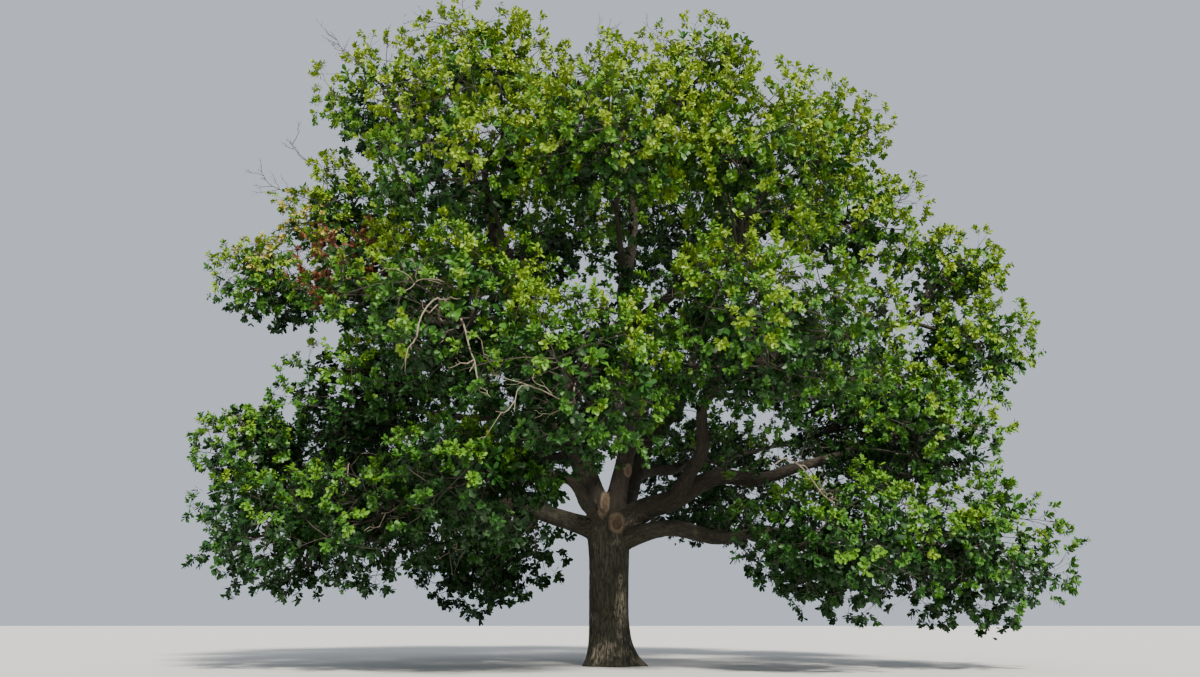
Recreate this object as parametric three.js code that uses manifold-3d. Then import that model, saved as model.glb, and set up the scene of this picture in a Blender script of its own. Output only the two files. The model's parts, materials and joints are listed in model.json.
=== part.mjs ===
// A broad old oak standing in the open: a short thick bole that forks low, wide crooked boughs,
// and a full crown made of many masses of foliage. Millimetres, +Z up, the origin at the middle
// of the bole's foot. Seen from the front (looking along +Y), +X is to the right.
import * as THREE from "three";
import { mergeVertices } from "three/addons/utils/BufferGeometryUtils.js";
import Module from "manifold-3d";

const wasm = await Module();
wasm.setup();

const metre = 1000;
const gap = 0.3; // air left between two pieces that meet

// The bole, in metres
const bole = {
  height: 5.3,
  waist: 0.745, // radius halfway up
  flare: 0.42, // how far the foot spreads beyond the waist
  flareHeight: 0.52, // height over which the spread fades to a third
  buttresses: 5,
  buttressDepth: 0.34, // share of the spread that comes and goes round the foot
  heavySide: 0.3, // share by which the right side of the foot spreads further
  widening: 0.16, // under the fork
  collar: 0.4, // share by which a bough is thicker where it leaves the bole
  sides: 18,
  rings: 11,
};

// Each bough: the limb or bole that it grows from, where it leaves (a height in metres on the
// bole, a share of the length on another bough), the direction in which it leaves (bearing in
// degrees anticlockwise from +X, rise in degrees), its radius at the foot and at the tip in
// metres, and the masses that it carries. A bough that leaves the bole starts as a shoulder of
// that length, which is part of the bole.
const boughs = {
  left_low: { from: "bole", at: 4.75, bearing: 184, rise: 27, foot: 0.4, tip: 0.17, shoulder: 1.7,
    carries: ["left_low_outer", "left_low_tip"] },
  left_up: { from: "bole", at: 4.9, bearing: 172, rise: 68, foot: 0.5, tip: 0.17, shoulder: 2.3,
    carries: ["upper_left", "top_left"] },
  leader: { from: "bole", at: 5.0, bearing: 25, rise: 72, foot: 0.4, tip: 0.16, shoulder: 2.6,
    carries: ["top_centre", "top_right"] },
  right_big: { from: "bole", at: 4.6, bearing: 352, rise: 50, foot: 0.54, tip: 0.17, shoulder: 2.3,
    carries: ["right_mid"] },
  right_low: { from: "bole", at: 4.35, bearing: 338, rise: 24, foot: 0.38, tip: 0.16, shoulder: 1.8,
    carries: ["right_low_outer"] },
  front_left: { from: "bole", at: 4.9, bearing: 238, rise: 40, foot: 0.3, tip: 0.14, shoulder: 1.7,
    carries: ["front_left", "front_left_low"] },
  back_left: { from: "bole", at: 5.0, bearing: 126, rise: 48, foot: 0.38, tip: 0.17, shoulder: 2.0,
    carries: ["back_left", "back_left_top"] },
  back_right: { from: "bole", at: 4.7, bearing: 66, rise: 42, foot: 0.42, tip: 0.17, shoulder: 2.0,
    carries: ["back_right", "back_right_top"] },
  drooping: { from: "left_low", at: 0.26, bearing: 128, rise: -8, foot: 0.17, tip: 0.1,
    carries: ["drooping"] },
  left_low_inner: { from: "left_low", at: 0.48, bearing: 238, rise: 4, foot: 0.19, tip: 0.12,
    carries: ["left_low_inner"] },
  left_mid: { from: "left_up", at: 0.24, bearing: 176, rise: 30, foot: 0.25, tip: 0.13,
    carries: ["left_mid"] },
  left_level: { from: "left_up", at: 0.5, bearing: 178, rise: 18, foot: 0.24, tip: 0.12,
    carries: ["left_level_tip"] },
  left_level_inner: { from: "left_level", at: 0.36, bearing: 236, rise: 14, foot: 0.15, tip: 0.1,
    carries: ["left_level_inner"] },
  upper_left_low: { from: "left_up", at: 0.66, bearing: 170, rise: 28, foot: 0.18, tip: 0.11,
    carries: ["upper_left_low"] },
  front_left_high: { from: "left_up", at: 0.42, bearing: 262, rise: 44, foot: 0.22, tip: 0.12,
    carries: ["front_left_high"] },
  front_high: { from: "leader", at: 0.38, bearing: 266, rise: 42, foot: 0.22, tip: 0.13,
    carries: ["front_high"] },
  front_centre: { from: "leader", at: 0.24, bearing: 258, rise: 24, foot: 0.2, tip: 0.12,
    carries: ["front_centre"] },
  right_high: { from: "leader", at: 0.5, bearing: 352, rise: 48, foot: 0.25, tip: 0.14,
    carries: ["upper_right", "right_upper"] },
  right_level: { from: "leader", at: 0.34, bearing: 4, rise: 36, foot: 0.27, tip: 0.14,
    carries: ["right_level_high", "right_level_tip"] },
  front_right: { from: "right_big", at: 0.36, bearing: 292, rise: 34, foot: 0.3, tip: 0.15,
    carries: ["front_right", "front_right_high"] },
  right_low_inner: { from: "right_low", at: 0.42, bearing: 300, rise: 6, foot: 0.2, tip: 0.12,
    carries: ["right_low_inner"] },
  back_left_low: { from: "back_left", at: 0.32, bearing: 142, rise: 8, foot: 0.27, tip: 0.14,
    carries: ["back_left_low", "left_back_low"] },
  back_right_low: { from: "back_right", at: 0.32, bearing: 36, rise: 6, foot: 0.27, tip: 0.14,
    carries: ["back_right_low", "right_back_low"] },
  back_centre: { from: "back_right", at: 0.46, bearing: 104, rise: 36, foot: 0.24, tip: 0.13,
    carries: ["back_centre"] },
};

// Each mass of foliage fills a flattened ball: the bearing in degrees, reach and height of its
// middle, and its spread (the ball's radius seen from above), in metres.
const masses = {
  left_low_tip: { bearing: 184, reach: 13.6, height: 7.9, spread: 2.8 },
  left_low_outer: { bearing: 194, reach: 12, height: 4.8, spread: 3.5 },
  left_low_inner: { bearing: 212, reach: 9.4, height: 4.9, spread: 3.2 },
  left_mid: { bearing: 186, reach: 9.6, height: 9.8, spread: 3.9 },
  left_level_tip: { bearing: 184, reach: 13.7, height: 14.8, spread: 2.7 },
  left_level_inner: { bearing: 200, reach: 9.8, height: 14.2, spread: 3.3 },
  upper_left_low: { bearing: 178, reach: 11.3, height: 18.6, spread: 3.2 },
  upper_left: { bearing: 190, reach: 9.3, height: 22.8, spread: 3.5 },
  top_left: { bearing: 215, reach: 6.4, height: 23.3, spread: 3.5 },
  top_centre: { bearing: 238, reach: 1.4, height: 22.8, spread: 3.8 },
  top_right: { bearing: 322, reach: 4.2, height: 23.4, spread: 3.1 },
  upper_right: { bearing: 2, reach: 9.4, height: 21.9, spread: 3.3 },
  right_upper: { bearing: 353, reach: 10, height: 17.4, spread: 3.3 },
  right_level_high: { bearing: 2, reach: 14.4, height: 16, spread: 2.7 },
  right_level_tip: { bearing: 358, reach: 14.6, height: 12.4, spread: 2.8 },
  right_mid: { bearing: 352, reach: 11.6, height: 8.7, spread: 4 },
  right_low_outer: { bearing: 350, reach: 13.1, height: 4, spread: 3.9 },
  right_low_inner: { bearing: 326, reach: 9.3, height: 4.2, spread: 3.6 },
  front_left_high: { bearing: 234, reach: 8.2, height: 17.8, spread: 4.6 },
  front_high: { bearing: 270, reach: 7.4, height: 17.6, spread: 4.7 },
  front_right_high: { bearing: 307, reach: 8.2, height: 17.4, spread: 4.7 },
  front_left: { bearing: 237, reach: 9.4, height: 11.2, spread: 4.1 },
  front_centre: { bearing: 262, reach: 9.2, height: 8.8, spread: 4.1 },
  front_right: { bearing: 303, reach: 9.4, height: 10.8, spread: 4.7 },
  front_left_low: { bearing: 242, reach: 8.8, height: 5.9, spread: 3.1 },
  back_left_top: { bearing: 124, reach: 6.6, height: 20.2, spread: 4.7 },
  back_right_top: { bearing: 54, reach: 6.6, height: 20.6, spread: 4.7 },
  back_left: { bearing: 138, reach: 11.2, height: 14.6, spread: 4.7 },
  back_centre: { bearing: 92, reach: 10.4, height: 13.2, spread: 4.7 },
  back_right: { bearing: 42, reach: 11.2, height: 14.6, spread: 4.7 },
  back_left_low: { bearing: 126, reach: 11.4, height: 8.4, spread: 4.6 },
  back_right_low: { bearing: 64, reach: 11.6, height: 8.6, spread: 4.6 },
  right_back_low: { bearing: 17, reach: 12.2, height: 10.2, spread: 4.6 },
  left_back_low: { bearing: 158, reach: 11.8, height: 8, spread: 4.4 },
  drooping: { bearing: 150, reach: 6.6, height: 3.7, spread: 2.5 },
};
const massFlatness = 0.75; // height of a mass over its width
const lowestLeaf = 0.5; // metres between the ground and the lowest sprays

// How twigs and sprays fill a mass. Its branches end in whorls: one spray that points on and
// some that spread round it, under the skin of the mass.
const growth = {
  crownHeart: 9, // height in metres of the point that masses turn away from
  branchesPerMetre: 0.95, // times the spread
  branchStarts: [0.96, 0.45], // shares of the stem at which the first and last branch leave
  branchReach: 0.56, // share of the way to the edge of the mass
  branchLevels: [0.4, -0.7], // cosines between a mass's outward direction and its branches
  whorl: 4, // sprays round the one that points on
  whorlAngle: [40, 54], // degrees between them and the branch, seen from the middle
  whorlPlay: 0.05, // share of a turn by which they stand unevenly
  leastLength: 1.1, // metres; shorter sprays are left out
  leastReach: 0.5, // what neighbours would press nearer the middle than this is left out
  skin: [0.93, 0.99], // share of the way to the edge at which sprays end
  width: 0.8, // of a spray, over its length
  widest: 0.58, // share of its length at which a spray is widest
  thickness: 0.06,
  shorter: [1, 0.85, 0.7], // lengths at which a spray is tried
  clearance: 0.05, // metres kept to the neighbouring mass and to passing limbs
};
const sinuous = 0.035; // sideways wander of a bough over its length
const boughSides = 6;
const boughStep = 1.8; // metres between a bough's rings
const stemRadius = 0.1;
const twigRadius = 0.055;
const twigSides = 3;
const stemRings = 3;
const twigRings = 2;
const woodTolerance = 0.05; // millimetres within which a solid is made simpler
const foliageTolerance = 2;

const goldenTurn = (3 - Math.sqrt(5)) / 2;
const fraction = (x) => x - Math.floor(x);
const draw = (seed, n) => fraction(Math.sin(seed * 78.233 + n * 12.9898) * 43758.5453);
const mix = (a, b, t) => a + (b - a) * t;

// The halves, quarters and eighths in an order that fills the span 0 to 1 evenly at any count.
function evenShare(n) {
  let share = 0;
  for (let unit = 0.5; n > 0; unit /= 2) {
    share += unit * (n % 2);
    n = Math.floor(n / 2);
  }
  return share;
}

// Direction n of an endless sequence: straight along the axis, then evenly all round it.
function evenDirection(axis, seed, n) {
  if (n === 0) return axis.clone();
  const level = mix(...growth.branchLevels, evenShare(n));
  const turn = 2 * Math.PI * fraction(n * goldenTurn + draw(seed, 1));
  return turned(axis, Math.acos(level), turn);
}

// The direction at an angle from the axis, at a turn round it.
function turned(axis, angle, turn) {
  const side = new THREE.Vector3(axis.z, axis.x, axis.y).cross(axis).normalize();
  const up = new THREE.Vector3().crossVectors(axis, side);
  return axis
    .clone()
    .multiplyScalar(Math.cos(angle))
    .addScaledVector(side, Math.sin(angle) * Math.cos(turn))
    .addScaledVector(up, Math.sin(angle) * Math.sin(turn));
}

function aimed(bearing, rise) {
  const [b, r] = [bearing, rise].map(THREE.MathUtils.degToRad);
  return new THREE.Vector3(Math.cos(r) * Math.cos(b), Math.cos(r) * Math.sin(b), Math.sin(r));
}

// A limb's middle line: it leaves the foot one way, reaches the tip from another, and wanders.
class LimbLine extends THREE.Curve {
  constructor(foot, leaves, tip, arrives, seed) {
    super();
    const span = foot.distanceTo(tip);
    this.bend = new THREE.CubicBezierCurve3(
      foot,
      foot.clone().addScaledVector(leaves, span * 0.36),
      tip.clone().addScaledVector(arrives, -span * 0.3),
      tip,
    );
    this.across = new THREE.Vector3().crossVectors(tip.clone().sub(foot), new THREE.Vector3(0, 0, 1));
    this.across.normalize().multiplyScalar(span * sinuous);
    this.seed = seed;
  }
  getPoint(t, target = new THREE.Vector3()) {
    this.bend.getPoint(t, target);
    const hold = Math.sin(Math.PI * t) ** 2;
    const sway = Math.sin(2 * Math.PI * (1.6 * t + draw(this.seed, 2)));
    const lift = Math.sin(2 * Math.PI * (2.3 * t + draw(this.seed, 3)));
    target.addScaledVector(this.across, hold * sway);
    target.z += this.across.length() * 0.7 * hold * lift;
    return target;
  }
}

// A closed cylinder bent along the stretch of a line from start to end, with radius(share, turn).
function bentCylinder(line, start, end, sides, rings, radius) {
  const straight = new THREE.CylinderGeometry(1, 1, 1, sides, rings);
  straight.deleteAttribute("normal").deleteAttribute("uv");
  const shape = mergeVertices(straight);
  const stretch = new THREE.Curve();
  stretch.getPoint = (t, target) => line.getPoint(mix(start, end, t), target);
  const frames = stretch.computeFrenetFrames(rings, false);
  const spots = shape.attributes.position;
  for (let i = 0; i < spots.count; i++) {
    const ring = Math.round((spots.getY(i) + 0.5) * rings);
    const share = ring / rings;
    const turn = Math.atan2(spots.getZ(i), spots.getX(i));
    const reach = Math.hypot(spots.getX(i), spots.getZ(i)) * radius(share, turn);
    const spot = stretch.getPoint(share, new THREE.Vector3());
    // The section runs from the normal to the reversed binormal, so that faces point outwards.
    spot.addScaledVector(frames.normals[ring], reach * Math.cos(turn));
    spot.addScaledVector(frames.binormals[ring], -reach * Math.sin(turn));
    spots.setXYZ(i, spot.x, spot.y, spot.z);
  }
  return shape;
}

function solidOf(shape) {
  const merged = mergeVertices(shape, 1e-3);
  return new wasm.Manifold(
    new wasm.Mesh({
      numProp: 3,
      vertProperties: merged.attributes.position.array,
      triVerts: new Uint32Array(merged.index.array),
    }),
  );
}

// The largest body of a solid: scraps and sealed hollows are left behind. Corners within the
// tolerance are taken out.
function largestBody(solid, tolerance) {
  const bodies = solid.decompose();
  const body = bodies.reduce((best, other) => (other.volume() > best.volume() ? other : best));
  return body.asOriginal().simplify(tolerance);
}

function geometryOf(solid) {
  const { vertProperties, triVerts } = solid.getMesh();
  const shape = new THREE.BufferGeometry();
  shape.setAttribute("position", new THREE.BufferAttribute(vertProperties, 3));
  shape.setIndex(new THREE.BufferAttribute(triVerts, 1));
  shape.computeVertexNormals();
  return shape;
}

// Where each mass lies, and the part of the crown that is its own
const spaces = Object.entries(masses).map(([name, { bearing, reach, height, spread }], seed) => ({
  name,
  seed,
  middle: aimed(bearing, 0).multiplyScalar(reach * metre).setZ(height * metre),
  spread: spread * metre,
}));
const spaceNamed = (name) => spaces.find((space) => space.name === name);

// Two masses share the crown at the plane where their balls meet, once heights are stretched so
// that the balls are round.
const rounded = (v) => new THREE.Vector3(v.x, v.y, v.z / massFlatness);
for (const space of spaces) {
  const home = rounded(space.middle);
  space.walls = spaces
    .filter((other) => other !== space)
    .map((other) => {
      const there = rounded(other.middle);
      const apart = there.distanceTo(home);
      const out = there.sub(home).divideScalar(apart);
      const far = (apart ** 2 + space.spread ** 2 - other.spread ** 2) / (2 * apart);
      return { out, far: far - growth.clearance * metre };
    })
    .filter((wall) => wall.far < space.spread);
}

// Distance from the middle of a space to its edge, as a share of the whole way, in a direction.
function shareOfReach(space, direction) {
  let share = 1;
  for (const wall of space.walls) {
    const towards = direction.dot(wall.out);
    if (towards > 0) share = Math.min(share, wall.far / (towards * space.spread));
  }
  return share;
}

function isInside(space, spot) {
  const from = rounded(spot).sub(rounded(space.middle));
  return (
    spot.z > lowestLeaf * metre &&
    from.length() <= space.spread &&
    space.walls.every((wall) => from.dot(wall.out) <= wall.far)
  );
}

// Boughs, each on the line from its foot to the edge of what it carries
const boleTop = new THREE.Vector3(0, 0, bole.height * metre);
const boleLine = new THREE.LineCurve3(new THREE.Vector3(), boleTop);
const limbs = {};
Object.entries(boughs).forEach(([name, bough], seed) => {
  const parent = limbs[bough.from];
  const foot = parent
    ? parent.line.getPoint(bough.at)
    : new THREE.Vector3(0, 0, bough.at * metre);
  const carried = bough.carries.map(spaceNamed);
  const load = new THREE.Vector3();
  for (const space of carried) load.addScaledVector(space.middle, 1 / carried.length);
  const arrives = load.clone().sub(foot).normalize();
  const spread = Math.max(...carried.map((space) => space.spread));
  const tip = load.clone().addScaledVector(arrives, -spread * 0.86);
  const line = new LimbLine(foot, aimed(bough.bearing, bough.rise), tip, arrives, seed + 1);
  const length = line.getLength();
  const radius = (t) => metre * mix(bough.tip, bough.foot, (1 - t) ** 1.2);
  const start = parent ? 0 : (bough.shoulder * metre) / length;
  const rings = Math.max(4, Math.round((length * (1 - start)) / (boughStep * metre)));
  limbs[name] = { name, parent, carried, line, length, radius, start, rings };
});

function boughSolid(limb, start, grown = 0) {
  const span = 1 - start;
  return solidOf(
    bentCylinder(limb.line, start, 1, boughSides, limb.rings, (share) =>
      limb.radius(start + span * share) + grown,
    ),
  );
}

function shoulderSolid(limb) {
  return solidOf(
    bentCylinder(limb.line, 0, limb.start, boughSides, 4, (share) =>
      limb.radius(limb.start * share) * (1 + bole.collar * (1 - share) ** 2),
    ),
  );
}

function boleRadius(share, turn) {
  const height = share * bole.height;
  const fade = Math.exp(-height / bole.flareHeight);
  const folds = 1 + bole.buttressDepth * Math.cos(bole.buttresses * turn + 0.6);
  const heavy = 1 + bole.heavySide * Math.cos(turn);
  const widening = bole.widening * share ** 6;
  const narrowing = 1 - 3 * Math.max(0, share - 0.87) ** 1.2; // rounds off inside the fork
  return metre * (bole.waist + bole.flare * fade * folds * heavy + widening) * narrowing;
}

function trunkSolid() {
  const up = solidOf(bentCylinder(boleLine, 0, 1, bole.sides, bole.rings, boleRadius));
  const shoulders = Object.values(limbs).filter((limb) => !limb.parent).map(shoulderSolid);
  return largestBody(wasm.Manifold.union([up, ...shoulders]), woodTolerance);
}

// The point at share t of a line that is drawn with straight stretches between its rings.
function onStretches(line, rings, t) {
  const whole = Math.min(rings - 1, Math.floor(t * rings));
  return line.getPoint(whole / rings).lerp(line.getPoint((whole + 1) / rings), t * rings - whole);
}

const twigSolid = (line, rings, footRadius, tipRadius) =>
  solidOf(
    bentCylinder(line, 0, 1, twigSides, rings, (share) => metre * mix(footRadius, tipRadius, share)),
  );

// A spray of leaves: one blade from its root to its tip, flat below and ridged on its outer side.
function blade(root, tip, out) {
  const length = root.distanceTo(tip);
  const along = tip.clone().sub(root).divideScalar(length);
  const side = new THREE.Vector3().crossVectors(out, along).normalize();
  const face = new THREE.Vector3().crossVectors(along, side);
  const wide = growth.widest;
  const shape = new THREE.BufferGeometry();
  const spots = [0, 0, 0, 1, 0, 0, wide, 0.5, 0, wide, -0.5, 0, wide, 0, 1]; // root, tip, edges, ridge
  shape.setAttribute("position", new THREE.Float32BufferAttribute(spots, 3));
  shape.setIndex([0, 2, 1, 0, 1, 3, 0, 3, 4, 3, 1, 4, 1, 2, 4, 2, 0, 4]);
  return shape
    .scale(length, length * growth.width, length * growth.thickness)
    .applyMatrix4(new THREE.Matrix4().makeBasis(along, side, face).setPosition(root));
}

const corners = (shape) => {
  const spots = shape.attributes.position;
  return Array.from({ length: spots.count }, (_, i) => new THREE.Vector3().fromBufferAttribute(spots, i));
};

// The line of a mass's stem, from just clear of its bough's tip to the middle of the mass.
function stemLine(limb, space) {
  const tip = limb.line.getPoint(1);
  const onward = limb.line.getTangent(1);
  const forked = limb.carried.length > 1;
  const aside = space.middle.clone().sub(tip);
  aside.addScaledVector(onward, -aside.dot(onward)).normalize();
  const root = tip.clone().addScaledVector(onward, gap);
  if (forked) root.addScaledVector(aside, stemRadius * metre * 0.95);
  const span = root.distanceTo(space.middle);
  return new THREE.CubicBezierCurve3(
    root,
    root.clone().addScaledVector(onward, span * 0.3),
    root.clone().lerp(space.middle, 0.7),
    space.middle,
  );
}

const stems = Object.values(limbs).flatMap((limb) =>
  limb.carried.map((space) => ({ space, line: stemLine(limb, space) })),
);

const stemSolid = ({ line }) => twigSolid(line, stemRings, stemRadius, twigRadius);

// Twigs and sprays of one mass, joined to its stem. What would leave the mass's own space, or
// touch a limb or another mass's stem, is left out.
function massSolid({ space, line }, obstacles) {
  const { seed, middle, spread } = space;
  const free = (solid) => solid.intersect(obstacles).isEmpty();
  const spot = (direction, share) =>
    new THREE.Vector3(direction.x, direction.y, direction.z * massFlatness)
      .multiplyScalar(spread * share)
      .add(middle);
  const outward = rounded(middle.clone().setZ(middle.z - growth.crownHeart * metre)).normalize();
  const pieces = [stemSolid({ line })];
  const count = Math.round((growth.branchesPerMetre * spread) / metre);
  for (let n = 0, grown = 0; grown < count && n < 4 * count; n++) {
    const direction = evenDirection(outward, seed, n);
    const reach = shareOfReach(space, direction);
    if (reach < growth.leastReach) continue;
    const leaves = mix(...growth.branchStarts, grown / count);
    const root = onStretches(line, stemRings, leaves);
    const tip = spot(direction, reach * growth.branchReach);
    const bend = root.clone().addScaledVector(line.getTangent(leaves), root.distanceTo(tip) * 0.35);
    const path = new THREE.QuadraticBezierCurve3(root, bend, tip);
    const branch = twigSolid(path, twigRings, twigRadius, twigRadius);
    if (!free(branch)) continue;
    pieces.push(branch);
    grown++;
    const centre = onStretches(path, twigRings, 0.96);
    for (let k = 0; k <= growth.whorl; k++) {
      const draws = (m) => draw(seed, 20 * n + 3 * k + m);
      const angle = k === 0 ? 0 : mix(...growth.whorlAngle, draws(1)) * (Math.PI / 180);
      const turn = k / growth.whorl + draw(seed, n) + growth.whorlPlay * (draws(4) - 0.5);
      const towards = turned(direction, angle, 2 * Math.PI * turn);
      const share = shareOfReach(space, towards) * mix(...growth.skin, draws(2));
      const end = spot(towards, share);
      if (end.distanceTo(centre) < growth.leastLength * metre) continue;
      const out = k === 0 ? turned(direction, 1, 2 * Math.PI * draws(3)) : towards;
      for (const shorter of growth.shorter) {
        const shape = blade(centre, centre.clone().lerp(end, shorter), out);
        if (!corners(shape).every((corner) => isInside(space, corner))) continue;
        const spray = solidOf(shape);
        if (!free(spray)) continue;
        pieces.push(spray);
        break;
      }
    }
  }
  return largestBody(wasm.Manifold.union(pieces), foliageTolerance);
}

const bark = new THREE.MeshStandardMaterial({ color: 0x6d5f4d, roughness: 0.95, metalness: 0 });
const leafage = new THREE.MeshStandardMaterial({ color: 0x5f7d2c, roughness: 0.7, metalness: 0 });

const oak = new THREE.Group();
function addNode(name, solid, material) {
  const mesh = new THREE.Mesh(geometryOf(solid), material.clone());
  mesh.name = name;
  oak.add(mesh);
}

const trunk = trunkSolid();
addNode("trunk", trunk, bark);
for (const limb of Object.values(limbs)) {
  let solid = boughSolid(limb, limb.parent ? 0 : limb.start + gap / limb.length);
  if (limb.parent) {
    const seat = boughSolid(limb.parent, limb.parent.start, gap);
    solid = largestBody(solid.subtract(seat), woodTolerance);
  }
  addNode(`bough_${limb.name}`, solid, bark);
}
const widened = Object.values(limbs).map((limb) =>
  boughSolid(limb, limb.start, growth.clearance * metre),
);
for (const stem of stems) {
  const otherStems = stems.filter((other) => other !== stem).map(stemSolid);
  const obstacles = wasm.Manifold.union([...widened, ...otherStems]);
  addNode(`foliage_${stem.space.name}`, massSolid(stem, obstacles), leafage);
}

export default oak;
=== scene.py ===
import bpy, bmesh, json
from math import acos, cos, hypot, pi, radians, sin, sqrt
import numpy as np
from numpy import arange, array, clip, concatenate, cross, exp, linspace, maximum
from numpy.linalg import norm
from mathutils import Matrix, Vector, noise

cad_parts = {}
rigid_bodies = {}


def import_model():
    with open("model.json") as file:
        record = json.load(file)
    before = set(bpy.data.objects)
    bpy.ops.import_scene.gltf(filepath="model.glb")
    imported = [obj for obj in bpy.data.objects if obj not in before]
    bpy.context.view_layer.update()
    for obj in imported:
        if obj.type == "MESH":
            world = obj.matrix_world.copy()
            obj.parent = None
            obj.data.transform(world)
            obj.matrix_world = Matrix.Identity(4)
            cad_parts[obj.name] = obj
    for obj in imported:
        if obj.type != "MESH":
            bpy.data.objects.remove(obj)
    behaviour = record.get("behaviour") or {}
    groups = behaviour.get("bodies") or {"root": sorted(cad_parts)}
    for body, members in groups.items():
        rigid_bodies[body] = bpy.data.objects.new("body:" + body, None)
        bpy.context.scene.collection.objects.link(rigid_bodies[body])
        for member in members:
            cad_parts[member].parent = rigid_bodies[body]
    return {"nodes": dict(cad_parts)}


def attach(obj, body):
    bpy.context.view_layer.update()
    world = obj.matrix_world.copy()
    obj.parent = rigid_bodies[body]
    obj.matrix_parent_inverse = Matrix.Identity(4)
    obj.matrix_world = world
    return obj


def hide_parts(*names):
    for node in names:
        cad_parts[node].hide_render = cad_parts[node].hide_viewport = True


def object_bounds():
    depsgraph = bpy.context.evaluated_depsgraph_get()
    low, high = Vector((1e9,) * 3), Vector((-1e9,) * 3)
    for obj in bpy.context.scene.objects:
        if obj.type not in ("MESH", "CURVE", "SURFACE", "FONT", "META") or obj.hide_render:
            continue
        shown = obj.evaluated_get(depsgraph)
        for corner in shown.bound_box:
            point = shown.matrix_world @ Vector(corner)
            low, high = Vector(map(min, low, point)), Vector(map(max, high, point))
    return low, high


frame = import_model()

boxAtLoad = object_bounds()
linkObject = bpy.context.collection.objects.link
print("frame loaded", len(frame["nodes"]), "nodes")

# Seen from where the photograph was taken: x to the right, y away from the camera, z up, metres.
photoCamera = bpy.data.cameras.new("photoCamera")
photoCamera.lens, photoCamera.sensor_width, photoCamera.clip_end = 28.08, 36, 1000
cameraObject = bpy.data.objects.new("photoCamera", photoCamera)
cameraObject.location = (-0.34, -37.0, 1.6)
cameraObject.rotation_euler = (radians(90 + 16.8), 0, 0)  # tipped up by 16.8 degrees
linkObject(cameraObject)
bpy.context.scene.camera = cameraObject

# The bole: a short thick stem with a flared foot that is heavier on the right
bole = {"height": 5.3, "waist": 0.745, "flare": 0.42, "flareHeight": 0.52, "buttresses": 5,
        "buttressDepth": 0.34, "buttressTurn": 0.6, "heavySide": 0.3, "widening": 0.16,
        "narrowsFrom": 0.87, "narrowing": 3, "collar": 0.4}

# Boughs: where each leaves its parent, bearing and rise in degrees, radius at foot and tip,
# the shoulder that belongs to the bole, and the masses that it carries
boughRows = """
left_low bole 4.75 184 27 0.4 0.17 1.7 left_low_outer left_low_tip
left_up bole 4.9 172 68 0.5 0.17 2.3 upper_left top_left
leader bole 5.0 25 72 0.4 0.16 2.6 top_centre top_right
right_big bole 4.6 352 50 0.54 0.17 2.3 right_mid
right_low bole 4.35 338 24 0.38 0.16 1.8 right_low_outer
front_left bole 4.9 238 40 0.3 0.14 1.7 front_left front_left_low
back_left bole 5.0 126 48 0.38 0.17 2.0 back_left back_left_top
back_right bole 4.7 66 42 0.42 0.17 2.0 back_right back_right_top
drooping left_low 0.26 128 -8 0.17 0.1 0 drooping
left_low_inner left_low 0.48 238 4 0.19 0.12 0 left_low_inner
left_mid left_up 0.24 176 30 0.25 0.13 0 left_mid
left_level left_up 0.5 178 18 0.24 0.12 0 left_level_tip
left_level_inner left_level 0.36 236 14 0.15 0.1 0 left_level_inner
upper_left_low left_up 0.66 170 28 0.18 0.11 0 upper_left_low
front_left_high left_up 0.42 262 44 0.22 0.12 0 front_left_high
front_high leader 0.38 266 42 0.22 0.13 0 front_high
front_centre leader 0.24 258 24 0.2 0.12 0 front_centre
right_high leader 0.5 352 48 0.25 0.14 0 upper_right right_upper
right_level leader 0.34 4 36 0.27 0.14 0 right_level_high right_level_tip
front_right right_big 0.36 292 34 0.3 0.15 0 front_right front_right_high
right_low_inner right_low 0.42 300 6 0.2 0.12 0 right_low_inner
back_left_low back_left 0.32 142 8 0.27 0.14 0 back_left_low left_back_low
back_right_low back_right 0.32 36 6 0.27 0.14 0 back_right_low right_back_low
back_centre back_right 0.46 104 36 0.24 0.13 0 back_centre
"""

# Masses of foliage: bearing, reach and height of the middle, and spread
massRows = """
left_low_tip 184 13.6 7.9 2.8
left_low_outer 194 12.0 4.8 3.5
left_low_inner 212 9.4 4.9 3.2
left_mid 186 9.6 9.8 3.9
left_level_tip 184 13.7 14.8 2.7
left_level_inner 200 9.8 14.2 3.3
upper_left_low 178 11.3 18.6 3.2
upper_left 190 9.3 22.8 3.5
top_left 215 6.4 23.3 3.5
top_centre 238 1.4 22.8 3.8
top_right 322 4.2 23.4 3.1
upper_right 2 9.4 21.9 3.3
right_upper 353 10.0 17.4 3.3
right_level_high 2 14.4 16.0 2.7
right_level_tip 358 14.6 12.4 2.8
right_mid 352 11.6 8.7 4.0
right_low_outer 350 13.1 4.0 3.9
right_low_inner 326 9.3 4.2 3.6
front_left_high 234 8.2 17.8 4.6
front_high 270 7.4 17.6 4.7
front_right_high 307 8.2 17.4 4.7
front_left 237 9.4 11.2 4.1
front_centre 262 9.2 8.8 4.1
front_right 303 9.4 10.8 4.7
front_left_low 242 8.8 5.9 3.1
back_left_top 124 6.6 20.2 4.7
back_right_top 54 6.6 20.6 4.7
back_left 138 11.2 14.6 4.7
back_centre 92 10.4 13.2 4.7
back_right 42 11.2 14.6 4.7
back_left_low 126 11.4 8.4 4.6
back_right_low 64 11.6 8.6 4.6
right_back_low 17 12.2 10.2 4.6
left_back_low 158 11.8 8.0 4.4
drooping 150 6.6 3.7 2.5
"""

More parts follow.
